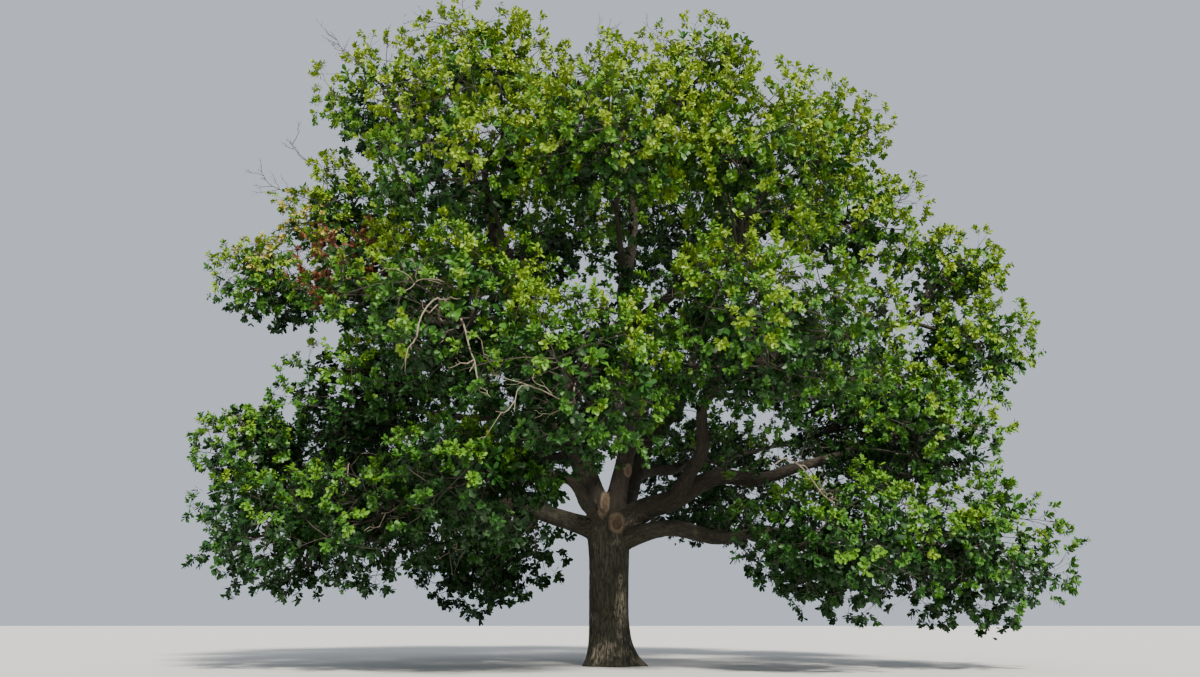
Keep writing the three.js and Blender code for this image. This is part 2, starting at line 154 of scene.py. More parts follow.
# The growth rule of limbs and foliage, as in the part's source
curve = {"leaves": 0.36, "arrives": 0.3, "sinuous": 0.035, "swayTurns": 1.6, "riseTurns": 2.3,
         "riseShare": 0.7, "stopsShort": 0.86, "points": 201, "thinning": 1.2}
growth = {"flatness": 0.75, "lowestLeaf": 0.5, "crownHeart": 9, "branchesPerMetre": 0.95,
          "branchStarts": (0.96, 0.45), "branchReach": 0.56, "branchLevels": (0.4, -0.7),
          "branchBend": 0.35, "tries": 8, "whorl": 4, "whorlAngle": (40, 54), "whorlPlay": 0.05,
          "whorlFoot": (0.92, 0.08), "leastLength": 1.1, "leastReach": 0.5, "skin": (0.93, 0.99),
          "width": 0.8, "widest": 0.58, "shorter": (1, 0.85, 0.7), "clearance": 0.05}

# What is carried further here: more branches in each mass, and sprays inside it
finer = {"branchesPerMetre": 2.7, "laterStarts": (0.3, 0.6), "laterReach": (0.42, 0.74),
         "branchPoints": 7, "branchRadius": (0.085, 0.016), "laterSkin": (0.74, 0.94),
         "laterLength": 0.6, "innerSkin": (0.4, 0.8), "innerAngle": (25, 75), "innerLength": 0.6,
         "innerFrom": 3, "innerFromLow": 2, "lowBelow": 10.5, "woodGap": 0.03, "stemGap": 0.12,
         "proud": 0.1}
# Each kind of spray sets how many steps of painted shade darken its leaves: none for the outer sprays,
# more for those inside the masses and on the boughs
outerSpray = {"sideTwigs": 2.3, "shoots": 2, "endLeaves": 10, "shootLeaves": 8, "leafLength": 0.205,
              "darker": 0}
innerSpray = {"sideTwigs": 1.6, "shoots": 2, "endLeaves": 5, "shootLeaves": 4, "leafLength": 0.34,
              "darker": 2}
boughSpray = {"sideTwigs": 2, "shoots": 2, "endLeaves": 7, "shootLeaves": 5, "leafLength": 0.26,
              "darker": 1.3}

goldenTurn = (3 - sqrt(5)) / 2
fullTurn = 2 * pi


def mix(a, b, t):
    return a + (b - a) * t


def draw(seed, n):
    return sin(seed * 78.233 + n * 12.9898) * 43758.5453 % 1


def unit(v):
    return v / norm(v)


def unitRows(rows):
    return rows / norm(rows, axis=1)[:, None]


def rowsOf(table):
    return [row.split() for row in table.split("\n")[1:-1]]


def evenShare(n):
    share, step = 0.0, 0.5
    while n:
        share += step * (n % 2)
        n //= 2
        step /= 2
    return share


def turned(axis, angle, turn):
    side = unit(cross((axis[2], axis[0], axis[1]), axis))
    up = cross(axis, side)
    around = cos(turn) * side + sin(turn) * up
    return cos(angle) * axis + sin(angle) * around


def tilted(axis, angle, dice):
    return turned(axis, angle, dice.uniform(0, fullTurn))


def evenDirection(axis, seed, n):
    if n == 0:
        return axis
    level = mix(*growth["branchLevels"], evenShare(n))
    return turned(axis, acos(level), fullTurn * ((n * goldenTurn + draw(seed, 1)) % 1))


def aimed(bearing, rise):
    b, r = radians(bearing), radians(rise)
    return array((cos(r) * cos(b), cos(r) * sin(b), sin(r)))


def cubic(a, b, c, d):
    return lambda t: (1 - t) ** 3 * a + 3 * t * (1 - t) ** 2 * b + 3 * t * t * (1 - t) * c + t ** 3 * d


def heading(line, t, step=1e-4):
    low, high = max(0, t - step), min(1, t + step)
    return unit(line(high) - line(low))


def limbLine(foot, leaves, tip, arrives, seed):
    span = norm(tip - foot)
    bend = cubic(foot, foot + leaves * span * curve["leaves"],
                 tip - arrives * span * curve["arrives"], tip)
    across = unit(cross(tip - foot, (0, 0, 1))) * span * curve["sinuous"]
    lift = array((0, 0, curve["riseShare"] * span * curve["sinuous"]))

    def line(t):
        hold = sin(pi * t) ** 2
        sway = sin(fullTurn * (curve["swayTurns"] * t + draw(seed, 2)))
        rise = sin(fullTurn * (curve["riseTurns"] * t + draw(seed, 3)))
        return bend(t) + across * hold * sway + lift * hold * rise
    return line


# The spaces that the masses keep to
spaces = {}
for seed, (name, bearing, reach, height, spread) in enumerate(rowsOf(massRows)):
    middle = aimed(float(bearing), 0) * float(reach) + (0, 0, float(height))
    spaces[name] = {"name": name, "seed": seed, "middle": middle, "spread": float(spread)}
roundness = array((1, 1, 1 / growth["flatness"]))
for space in spaces.values():
    walls = []
    for other in spaces.values():
        if other is space:
            continue
        out = (other["middle"] - space["middle"]) * roundness
        apart = norm(out)
        far = (apart ** 2 + space["spread"] ** 2 - other["spread"] ** 2) / (2 * apart)
        far -= growth["clearance"]
        if far < space["spread"]:
            walls.append((out / apart, far))
    space["wallOut"] = array([out for out, far in walls]).reshape(-1, 3)
    space["wallFar"] = array([far for out, far in walls])


def shareOfReach(space, direction):
    towards = space["wallOut"] @ direction
    facing = towards > 0
    if not facing.any():
        return 1.0
    return min(1.0, (space["wallFar"][facing] / (towards[facing] * space["spread"])).min())


def inSpace(space, direction, share):
    return space["middle"] + direction * share * space["spread"] / roundness


def isInside(space, spots, slack=0.0):
    away = (np.atleast_2d(spots) - space["middle"]) * roundness
    inside = norm(away, axis=1) <= space["spread"] + slack
    if len(space["wallFar"]):
        inside &= (away @ space["wallOut"].T <= space["wallFar"] + slack).all(axis=1)
    return inside & (np.atleast_2d(spots)[:, 2] > growth["lowestLeaf"])


# Boughs on their lines, with a turning frame every few centimetres
limbs = {}
for seed, row in enumerate(rowsOf(boughRows)):
    name, parentName, at, bearing, rise, footRadius, tipRadius, shoulder, *carries = row
    parent = limbs.get(parentName)
    at, footRadius, tipRadius = float(at), float(footRadius), float(tipRadius)
    foot = parent["line"](at) if parent else array((0, 0, at))
    carried = [spaces[mass] for mass in carries]
    load = sum(space["middle"] for space in carried) / len(carried)
    arrives = unit(load - foot)
    tip = load - arrives * max(space["spread"] for space in carried) * curve["stopsShort"]
    line = limbLine(foot, aimed(float(bearing), float(rise)), tip, arrives, seed + 1)
    shares = linspace(0, 1, curve["points"])
    points = array([line(t) for t in shares])
    lengths = concatenate(([0], np.cumsum(norm(np.diff(points, axis=0), axis=1))))
    ways = unitRows(np.gradient(points, axis=0))
    side = unit(cross(ways[0], (0.3, 0.2, 0.9)))
    sides = []
    for way in ways:
        side = unit(side - way * (side @ way))
        sides.append(side)
    limbs[name] = {"name": name, "seed": seed, "parent": parent, "carried": carried, "line": line,
                   "foot": footRadius, "tip": tipRadius, "length": lengths[-1],
                   "start": float(shoulder) / lengths[-1], "shares": shares, "points": points,
                   "lengths": lengths, "ways": ways, "sides": array(sides)}
leavingBole = [limb for limb in limbs.values() if not limb["parent"]]


def limbRadius(limb, t):
    return mix(limb["tip"], limb["foot"], (1 - t) ** curve["thinning"])


def stemLine(limb, space, aside=0.095, ahead=0.3, inward=0.7):
    tip, onward = limb["line"](1), heading(limb["line"], 1)
    root = tip.copy()
    if len(limb["carried"]) > 1:
        way = space["middle"] - tip
        root += unit(way - onward * (way @ onward)) * aside
    span = norm(space["middle"] - root)
    return cubic(root, root + onward * span * ahead, mix(root, space["middle"], inward), space["middle"])


stems = [{"space": space, "limb": limb, "line": stemLine(limb, space)}
         for limb in limbs.values() for space in limb["carried"]]
woodSpots = concatenate([limb["points"][::2] for limb in limbs.values()])
woodRadii = array([limbRadius(limb, t) for limb in limbs.values() for t in limb["shares"][::2]])
stemSpots = {id(stem): array([stem["line"](t) for t in linspace(0, 1, 15)]) for stem in stems}


def touchesWood(spots, own):
    gaps = norm(spots[:, None] - woodSpots[None], axis=2) - woodRadii
    if (gaps < growth["clearance"] + finer["woodGap"]).any():
        return True
    others = concatenate([points for key, points in stemSpots.items() if key != id(own)])
    return bool((norm(spots[:, None] - others[None], axis=2) < finer["stemGap"]).any())


print("growth laid out", len(limbs), "boughs", len(spaces), "masses")


def newMaterial(name, roughness, colour):
    material = bpy.data.materials.new(name)
    material.use_nodes = True
    shader = material.node_tree.nodes["Principled BSDF"]
    shader.inputs["Roughness"].default_value = roughness
    shader.inputs["Base Color"].default_value = (*colour, 1)
    return material, material.node_tree, shader


def addNode(tree, kind, **values):
    node = tree.nodes.new(kind)
    for key, value in values.items():
        if key in node.inputs:
            node.inputs[key].default_value = value
        else:
            setattr(node, key, value)
    return node


# A number or a colour is set on the socket, and an output is linked to it
def feed(tree, value, socket):
    if isinstance(value, bpy.types.NodeSocket):
        tree.links.new(value, socket)
    else:
        socket.default_value = (*value, 1) if isinstance(value, tuple) else value


def colourMix(tree, factor, low, high):
    node = addNode(tree, "ShaderNodeMix", data_type="RGBA")
    for value, socket in ((factor, "Factor"), (low, 6), (high, 7)):
        feed(tree, value, node.inputs[socket])
    return node.outputs[2]


def remap(tree, value, low, high):
    node = addNode(tree, "ShaderNodeMapRange", **{"From Min": low, "From Max": high})
    feed(tree, value, node.inputs["Value"])
    return node.outputs["Result"]


def maths(tree, operation, *terms):
    node = addNode(tree, "ShaderNodeMath", operation=operation)
    for term, socket in zip(terms, node.inputs):
        feed(tree, term, socket)
    return node.outputs[0]


def noiseOn(tree, place, scale, detail, roughness=0.5):
    node = addNode(tree, "ShaderNodeTexNoise", Scale=scale, Detail=detail, Roughness=roughness)
    feed(tree, place, node.inputs["Vector"])
    return node.outputs["Fac"]


def attributeOf(tree, name, output="Fac"):
    return addNode(tree, "ShaderNodeAttribute", attribute_name=name).outputs[output]


# Bark: fibres and fissures follow each limb by the attribute grain, round it and along it
# The bough colours are darker and redder than the bole's: partly their own tone, partly painted shade of
# the crown
bark = {"bole": (0.063, 0.061, 0.036), "bough": (0.042, 0.031, 0.02), "furrow": (0.02, 0.017, 0.011),
        "bolePale": (0.36, 0.31, 0.22), "boughPale": (0.1, 0.082, 0.055), "moss": (0.042, 0.055, 0.018),
        "wound": (0.17, 0.125, 0.08), "hollow": (0.085, 0.054, 0.029), "roughness": 0.93,
        "grainStretch": 0.16, "fibres": (26, 7, 0.7), "ridges": (11, 3, 0.5), "patches": (1.1, 5, 0.6),
        "specks": (9, 4, 0.7), "aloftFrom": (4.2, 6.4), "lichen": 0.24, "paleFrom": (0.58, 0.75),
        "mossFrom": (0.62, 0.78), "fibresFrom": (0.6, 0.38), "fibresShow": 0.6, "fissureWidth": 0.045,
        "fissureDepth": -0.9, "ragged": 0.9, "woundFrom": (0.6, 1.0), "hollowFrom": (1.1, 1.5),
        "bumpHeight": 0.03}


def barkMaterial(name):
    material, tree, shader = newMaterial(name, bark["roughness"], bark["bole"])
    place = addNode(tree, "ShaderNodeTexCoord").outputs["Object"]
    stretched = addNode(tree, "ShaderNodeMapping", Scale=(1, 1, bark["grainStretch"]))
    feed(tree, attributeOf(tree, "grain", "Vector"), stretched.inputs["Vector"])
    fibres = noiseOn(tree, stretched.outputs[0], *bark["fibres"])
    ridges = noiseOn(tree, stretched.outputs[0], *bark["ridges"])
    patches = noiseOn(tree, place, *bark["patches"])
    specks = noiseOn(tree, place, *bark["specks"])
    separate = addNode(tree, "ShaderNodeSeparateXYZ")
    feed(tree, place, separate.inputs[0])
    # Aloft, the bark turns to the boughs' darker, redder colours: partly their own tone, partly painted
    # shade of the crown
    aloft = remap(tree, separate.outputs["Z"], *bark["aloftFrom"])
    plain = colourMix(tree, aloft, bark["bole"], bark["bough"])
    pale = colourMix(tree, aloft, bark["bolePale"], bark["boughPale"])
    # Pale patches at random and where the lichen lies; on the bole's front right the pale patch is
    # painted sunlight as well
    paler = maths(tree, "MULTIPLY_ADD", attributeOf(tree, "lichen"), bark["lichen"], patches)
    plates = colourMix(tree, remap(tree, paler, *bark["paleFrom"]), plain, pale)
    plates = colourMix(tree, remap(tree, specks, *bark["mossFrom"]), plates, bark["moss"])
    # Darker where the fibres run low, in the fissures and in the relief's furrows: partly the bark's own
    # darker colour, partly painted shade in these recesses
    lined = colourMix(tree, remap(tree, fibres, *bark["fibresFrom"]), plates, bark["furrow"])
    faint = colourMix(tree, bark["fibresShow"], plates, lined)
    # A fissure runs where the noise of the ridges crosses its middle value
    depth = maths(tree, "ABSOLUTE", maths(tree, "SUBTRACT", ridges, 0.5))
    fissures = remap(tree, depth, bark["fissureWidth"], 0.0)
    # The fissures and the furrows of the relief take the dark furrow colour, partly as painted shade
    fissured = colourMix(tree, fissures, faint, bark["furrow"])
    furrowed = colourMix(tree, attributeOf(tree, "furrow"), fissured, bark["furrow"])
    ragged = maths(tree, "MULTIPLY_ADD", specks, bark["ragged"], attributeOf(tree, "wound"))
    healed = colourMix(tree, remap(tree, ragged, *bark["woundFrom"]), furrowed, bark["wound"])
    bared = colourMix(tree, remap(tree, ragged, *bark["hollowFrom"]), healed, bark["hollow"])
    feed(tree, bared, shader.inputs["Base Color"])
    bump = addNode(tree, "ShaderNodeBump", Strength=1, Distance=bark["bumpHeight"])
    height = maths(tree, "MULTIPLY_ADD", fissures, bark["fissureDepth"], fibres)
    feed(tree, height, bump.inputs["Height"])
    feed(tree, bump.outputs[0], shader.inputs["Normal"])
    return material


twigTones = {"dark": (0.02, 0.016, 0.011), "pale": (0.068, 0.055, 0.039), "patches": (3, 3),
             "roughness": 0.9}
deadTones = {"dark": (0.1, 0.078, 0.052), "pale": (0.33, 0.275, 0.2), "patches": (5, 5),
             "roughness": 0.85}


def mottledMaterial(name, tones):
    material, tree, shader = newMaterial(name, tones["roughness"], tones["pale"])
    place = addNode(tree, "ShaderNodeTexCoord").outputs["Object"]
    mottle = noiseOn(tree, place, *tones["patches"])
    feed(tree, colourMix(tree, mottle, tones["dark"], tones["pale"]), shader.inputs["Base Color"])
    return material


oakBark = barkMaterial("oakBark")
twigBark = mottledMaterial("twigBark", twigTones)
deadWood = mottledMaterial("deadWood", deadTones)

# Leaf colours, from the painted shade of the crown's inside to the painted sunlight on its top, then the
# odd ones, which are the leaves' own colours
leafColours = {"shadeLeaf": (0.007, 0.037, 0.003), "halfShadeLeaf": (0.016, 0.068, 0.006),
               "dimLitLeaf": (0.041, 0.13, 0.008), "halfLitLeaf": (0.084, 0.198, 0.01),
               "litLeaf": (0.16, 0.265, 0.01), "sunLeaf": (0.232, 0.325, 0.014),
               "yellowLeaf": (0.4, 0.34, 0.06), "rustLeaf": (0.17, 0.06, 0.025)}
leafFinish = {"roughness": 0.5, "specular": 0.35}
leafMaterials = []
for name, colour in leafColours.items():
    material, tree, shader = newMaterial(name, leafFinish["roughness"], colour)
    shader.inputs["Specular IOR Level"].default_value = leafFinish["specular"]
    leafMaterials.append(material)
print("materials made")


# Wood: every tube starts as a grid that is rolled round its line
relief = {"depth": 0.032, "cell": 0.09, "run": 0.15, "narrow": 0.12, "fullRadius": 0.6,
          "leastCell": 0.35, "leastDepth": 0.15, "bendCells": 0.4, "bend": 1.3, "swell": 0.05,
          "swellCells": (1, 1, 0.5), "swellWidth": 1.6, "rough": 0.007, "roughCells": (2.7, 2.7, 1.6),
          "apart": 3.7}


def noiseAt(spots):
    return np.fromiter((noise.noise(spot) for spot in spots.tolist()), float, len(spots))


def barkRelief(grain, radius):
    size = relief["cell"] * clip(radius / relief["fullRadius"], relief["leastCell"], 1)
    cells = grain * (1, 1, relief["run"]) / size[:, None]
    bent = cells + noiseAt(cells * relief["bendCells"])[:, None] * relief["bend"]
    furrow = exp(-(noiseAt(bent) / relief["narrow"]) ** 2)
    strength = clip(radius / relief["fullRadius"], relief["leastDepth"], 1)
    swell = noiseAt(grain * relief["swellCells"] / (radius * relief["swellWidth"])[:, None])
    rough = noiseAt(cells * relief["roughCells"]) * relief["rough"] * strength
    return swell * relief["swell"] * radius - furrow * relief["depth"] * strength + rough, furrow


def limbGrain(limb, turns, radii, lengths):
    grain = array((np.cos(turns) * radii, np.sin(turns) * radii, lengths)).T
    return grain + limb["seed"] * relief["apart"]


def rolledTube(bm, sides, rings):
    made = bmesh.ops.create_grid(bm, x_segments=sides, y_segments=rings, size=0.5)["verts"]
    turns = array([(v.co.x + 0.5) * fullTurn for v in made])
    shares = array([v.co.y + 0.5 for v in made])
    return made, turns, shares


def moveTo(made, spots):
    for v, spot in zip(made, spots):
        v.co = spot


def closeTube(bm, verts):
    bmesh.ops.remove_doubles(bm, verts=verts, dist=1e-5)
    bmesh.ops.holes_fill(bm, edges=[edge for edge in bm.edges if edge.is_boundary], sides=0)
    bmesh.ops.recalc_face_normals(bm, faces=bm.faces)


def onLimb(limb, lengths):
    points, ways, sides = (
        array([np.interp(lengths, limb["lengths"], column) for column in limb[key].T]).T
        for key in ("points", "ways", "sides"))
    ways = unitRows(ways)
    return points, ways, unitRows(sides - ways * (sides * ways).sum(1)[:, None])


def aroundLimb(turns, ways, sides):
    return np.cos(turns)[:, None] * sides + np.sin(turns)[:, None] * cross(ways, sides)


def addPiece(mesh):
    piece = bpy.data.objects.new(mesh.name, mesh)
    linkObject(piece)
    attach(piece, "root")
    return piece


def addWood(name, shape, smooth=True, material=oakBark):
    mesh = bpy.data.meshes.new(name)
    if isinstance(shape, bmesh.types.BMesh):
        shape.to_mesh(mesh)
        shape.free()
    else:
        mesh.from_pydata(shape[0], [], shape[1])
    mesh.polygons.foreach_set("use_smooth", np.full(len(mesh.polygons), smooth))
    mesh.materials.append(material)
    return addPiece(mesh)


def setAttributes(mesh, **attributes):
    for name, values in attributes.items():
        kind, key = ("FLOAT_VECTOR", "vector") if values.ndim == 2 else ("FLOAT", "value")
        layer = mesh.attributes.new(name, kind, "POINT")
        layer.data.foreach_set(key, values.astype(np.float32).ravel())


def boleRadius(heights, turns):
    fade = exp(-heights / bole["flareHeight"])
    folds = 1 + bole["buttressDepth"] * np.cos(bole["buttresses"] * turns + bole["buttressTurn"])
    heavy = 1 + bole["heavySide"] * np.cos(turns)
    share = heights / bole["height"]
    past = maximum(0, share - bole["narrowsFrom"])
    radii = bole["waist"] + bole["flare"] * fade * folds * heavy + bole["widening"] * share ** 6
    return radii * (1 - bole["narrowing"] * past ** 1.2)


# Paler bark with lichen, and on the first row, the bole's front right, a patch of painted sunlight as
# well: middle, half width and half height
lichenRows = """
0.42 -0.65 1.75 0.26 1.05
-0.25 -0.7 0.5 0.35 0.5
-0.3 0.7 2.4 0.4 1.2
"""


def lichenShare(spots, deeper=1.6, edge=1.6):
    share = np.zeros(len(spots))
    for row in rowsOf(lichenRows):
        *middle, wide, tall = map(float, row)
        away = (spots - middle) / (wide, wide * deeper, tall)
        share = maximum(share, clip(edge - norm(away, axis=1), 0, 1))
    return share


# Old pruning wounds: middle, facing, half width, half height, rim height, depth of the hollow
woundRows = """
0.31 -0.84 5.22 0.05 -1 0.05 0.24 0.31 0.09 0.07
-0.2 -0.6 5.95 -0.25 -1 0.1 0.12 0.45 0.04 0.03
0.78 -0.28 7.3 0.1 -1 0 0.14 0.2 0.035 0.03
1.2 -0.14 10.2 0 -1 0 0.17 0.46 0.03 0.03
"""


# The lift of the rims, how bare each spot is, and how much relief the bark keeps there
def addWounds(spots, reach=0.5, rimWidth=0.28, hollowWidth=0.7, bareTo=1.35, fade=0.75, edge=1.45):
    lift, wound = np.zeros(len(spots)), np.zeros(len(spots))
    for row in rowsOf(woundRows):
        *place, wide, tall, rim, deep = map(float, row)
        faces = unit(array(place[3:]))
        across = unit(cross((0, 0, 1), faces))
        away = spots - place[:3]
        far = np.hypot(away @ across / wide, away @ cross(faces, across) / tall)
        near = np.abs(away @ faces) < reach
        lift += near * (rim * exp(-((far - 1) / rimWidth) ** 2) - deep * exp(-(far / hollowWidth) ** 4))
        wound = maximum(wound, near * clip(bareTo - far * fade, 0, 1) * (far < edge))
    return lift, wound, 1 - clip(wound * 1.6, 0, 1)


# The bole and the shoulders of its boughs, as tubes of some sides and rings
def trunkTubes(boleGrid=(96, 70), shoulderGrid=(40, 30), endNarrows=0.07):
    bm = bmesh.new()
    made, turns, shares = rolledTube(bm, *boleGrid)
    heights = shares * bole["height"]
    radii = boleRadius(heights, turns)
    moveTo(made, array((radii * np.cos(turns), radii * np.sin(turns), heights)).T)
    closeTube(bm, made)
    for limb in leavingBole:
        before = set(bm.verts)
        made, turns, shares = rolledTube(bm, *shoulderGrid)
        lengths = shares * limb["start"] * limb["length"]
        points, ways, sides = onLimb(limb, lengths)
        radii = limbRadius(limb, lengths / limb["length"]) * (1 + bole["collar"] * (1 - shares) ** 2)
        radii *= 1 - endNarrows * shares ** 12
        moveTo(made, points + radii[:, None] * aroundLimb(turns, ways, sides))
        closeTube(bm, [v for v in bm.verts if v not in before])
    return bm


def fuseTubes(piece, voxel=0.034, softness=0.5, rounds=12):
    remesh = piece.modifiers.new("joined", "REMESH")
    remesh.mode, remesh.voxel_size = "VOXEL", voxel
    soften = piece.modifiers.new("softened", "SMOOTH")
    soften.factor, soften.iterations = softness, rounds
    evaluated = piece.evaluated_get(bpy.context.evaluated_depsgraph_get())
    mesh = bpy.data.meshes.new_from_object(evaluated)
    piece.modifiers.clear()
    piece.data = mesh
    return mesh


# The grain at each spot, from the bole or the nearest shoulder, and its radius there
def trunkGrain(spots, forkAt=5.1, past=0.02):
    turns = np.arctan2(spots[:, 1], spots[:, 0])
    closest = np.hypot(spots[:, 0], spots[:, 1]) / bole["waist"]
    closest += maximum(0, spots[:, 2] - forkAt) * 3
    around = array((np.cos(turns), np.sin(turns), np.zeros(len(spots)))).T
    grain = around * bole["waist"] + np.outer(spots[:, 2], (0, 0, 1))
    radius = np.full(len(spots), bole["waist"])
    for limb in leavingBole:
        shoulder = limb["shares"] <= limb["start"] + past
        gaps = norm(spots[:, None] - limb["points"][shoulder][None], axis=2)
        nearest = gaps.argmin(1)
        here = limbRadius(limb, limb["shares"][nearest])
        ratio = gaps.min(1) / here
        take = ratio < closest
        away, way, side = spots - limb["points"][nearest], limb["ways"][nearest], limb["sides"][nearest]
        turn = np.arctan2((away * cross(way, side)).sum(1), (away * side).sum(1))
        along = limb["lengths"][nearest] + (away * way).sum(1)
        own = limbGrain(limb, turn, here, along)
        grain[take], radius[take], closest[take] = own[take], here[take], ratio[take]
    return grain, radius


def makeTrunk():
    trunk = addWood("trunkWood", trunkTubes())
    mesh = fuseTubes(trunk)
    spots, normals = np.empty((2, len(mesh.vertices) * 3))
    mesh.vertices.foreach_get("co", spots)
    mesh.vertices.foreach_get("normal", normals)
    spots, normals = spots.reshape(-1, 3), normals.reshape(-1, 3)
    grain, radius = trunkGrain(spots)
    lift, furrow = barkRelief(grain, radius)
    scarLift, wound, calm = addWounds(spots)
    spots += normals * (lift * calm + scarLift)[:, None]
    spots[:, 2] = maximum(spots[:, 2], 0)
    mesh.vertices.foreach_set("co", spots.ravel())
    setAttributes(mesh, grain=grain, furrow=furrow * calm, wound=wound, lichen=lichenShare(spots))
    mesh.polygons.foreach_set("use_smooth", [True] * len(mesh.polygons))
    mesh.update()
    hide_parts("trunk")
    print("trunk", len(mesh.polygons), "faces")


def makeBough(limb, overlap=0.3, sidesPerRadius=90, ring=0.11, collar=0.45, collarReach=2.2,
              endRun=0.02, endNarrows=0.3):
    bm = bmesh.new()
    layers = [bm.verts.layers.float_vector.new("grain"), bm.verts.layers.float.new("furrow"),
              bm.verts.layers.float.new("wound")]
    start = 0.0 if limb["parent"] else limb["start"] * limb["length"] - overlap
    run = limb["length"] - start
    sides = int(clip(limb["foot"] * sidesPerRadius, 14, 44))
    made, turns, shares = rolledTube(bm, sides, int(run / ring))
    lengths = start + shares * run
    points, ways, outs = onLimb(limb, lengths)
    radii = limbRadius(limb, lengths / limb["length"])
    if limb["parent"]:
        radii *= 1 + collar * exp(-((lengths / (limb["foot"] * collarReach)) ** 2))
    radii *= 1 - endNarrows * clip((shares - (1 - endRun)) / endRun, 0, 1)
    around = aroundLimb(turns, ways, outs)
    grain = limbGrain(limb, turns, radii, lengths)
    lift, furrow = barkRelief(grain, radii)
    scarLift, wound, calm = addWounds(points + around * radii[:, None])
    moveTo(made, points + around * (radii + lift * calm + scarLift)[:, None])
    for v, *values in zip(made, grain.tolist(), (furrow * calm).tolist(), wound.tolist()):
        for layer, value in zip(layers, values):
            v[layer] = value
    closeTube(bm, made)
    piece = addWood(f"wood_{limb['name']}", bm)
    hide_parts(f"bough_{limb['name']}")


makeTrunk()
for limb in limbs.values():
    makeBough(limb)
print("boughs made")


# Foliage: the source's branches and whorls first, then the rule's further ones
def massBranches(stem):
    space, line = stem["space"], stem["line"]
    outward = unit((space["middle"] - (0, 0, growth["crownHeart"])) * roundness)
    firstCount = round(growth["branchesPerMetre"] * space["spread"])
    count = round(finer["branchesPerMetre"] * space["spread"])
    steps = linspace(0, 1, finer["branchPoints"])
    grown = n = 0
    branches = []
    while grown < count and n < growth["tries"] * count:
        direction = evenDirection(outward, space["seed"], n)
        n += 1
        reach = shareOfReach(space, direction)
        if reach < growth["leastReach"]:
            continue
        first = grown < firstCount
        if first:
            leaves, share = mix(*growth["branchStarts"], grown / firstCount), growth["branchReach"]
        else:
            leaves = finer["laterStarts"][0] + finer["laterStarts"][1] * draw(n, 7)
            share = mix(*finer["laterReach"], draw(space["seed"], n + 5))
        root = line(leaves)
        tip = inSpace(space, direction * reach, share)
        bend = root + heading(line, leaves) * norm(tip - root) * growth["branchBend"]
        path = array([(1 - t) ** 2 * root + 2 * t * (1 - t) * bend + t * t * tip for t in steps])
        if touchesWood(path[1:], stem):
            continue
        branches.append({"n": n - 1, "direction": direction, "path": path, "first": first})
        grown += 1
    return branches


# A spray's outline, with its tip and widest corners: it lies across the way that it faces
def sprayOutline(root, tip, facing):
    length = norm(tip - root)
    along = (tip - root) / length
    side = unit(cross(facing, along))
    wide = root + along * length * growth["widest"]
    half = side * length * growth["width"] / 2
    corners = array((tip, wide + half, wide - half))
    return corners, {"root": root, "tip": tip, "along": along, "side": side, "length": length}


def whorlSprays(stem, branch):
    space, n, path = stem["space"], branch["n"], branch["path"]
    centre = path[-1] * growth["whorlFoot"][0] + path[-2] * growth["whorlFoot"][1]
    skin = growth["skin"] if branch["first"] else finer["laterSkin"]
    least = growth["leastLength"] * (1 if branch["first"] else finer["laterLength"])
    for k in range(growth["whorl"] + 1):
        def draws(m):
            return draw(space["seed"], 20 * n + 3 * k + m)
        angle = radians(mix(*growth["whorlAngle"], draws(1))) if k else 0
        turn = k / growth["whorl"] + draw(space["seed"], n) + growth["whorlPlay"] * (draws(4) - 0.5)
        towards = turned(branch["direction"], angle, fullTurn * turn)
        end = inSpace(space, towards, shareOfReach(space, towards) * mix(*skin, draws(2)))
        if norm(end - centre) < least:
            continue
        facing = towards if k else turned(branch["direction"], 1, fullTurn * draws(3))
        for shorter in growth["shorter"]:
            corners, spray = sprayOutline(centre, mix(centre, end, shorter), facing)
            if isInside(space, corners).all() and not touchesWood(corners, stem):
                yield spray | {"out": towards, "kind": outerSpray}
                break


def innerSprays(stem, branch, dice):
    space = stem["space"]
    low = space["middle"][2] < finer["lowBelow"]
    for root in branch["path"][finer["innerFromLow"] if low else finer["innerFrom"]:-1]:
        towards = tilted(branch["direction"], radians(dice.uniform(*finer["innerAngle"])), dice)
        share = shareOfReach(space, towards) * dice.uniform(*finer["innerSkin"])
        tip = inSpace(space, towards, share)
        corners, spray = sprayOutline(root, tip, towards)
        longEnough = spray["length"] > finer["innerLength"]
        if longEnough and isInside(space, corners).all() and not touchesWood(corners[:1], stem):
            yield spray | {"out": towards, "kind": innerSpray}


def ringsRound(middles, radii, across, up, sides):
    turns = arange(sides) * fullTurn / sides
    around = np.cos(turns)[None, :, None] * across[:, None] + np.sin(turns)[None, :, None] * up[:, None]
    return middles[:, None] + np.reshape(radii, (-1, 1, 1)) * around


# Level and square to each way, or square to x as well where the way is steep
def acrossWays(ways, steep):
    return unitRows(cross(ways, np.where(np.abs(ways[:, 2:]) < steep, (0, 0, 1), (1, 0, 0))))


# Closed tubes along paths: each run is its points and its radii
def twigMesh(runs, sides):
    verts, faces, offset = [], [], 0
    for points, radii in runs:
        ways = unitRows(np.gradient(points, axis=0))
        across = unitRows(cross(ways, (0, 0, 1) if abs(ways[0][2]) < 0.8 else (1, 0, 0)))
        verts.append(ringsRound(points, radii, across, cross(across, ways), sides).reshape(-1, 3))
        for i in range(len(points) - 1):
            low, high = offset + i * sides, offset + (i + 1) * sides
            for j in range(sides):
                k = (j + 1) % sides
                faces.append((low + j, high + j, high + k, low + k))
        last = offset + (len(points) - 1) * sides
        faces.append(tuple(range(offset, offset + sides)))
        faces.append(tuple(range(last + sides - 1, last - 1, -1)))
        offset += len(points) * sides
    return concatenate(verts), faces


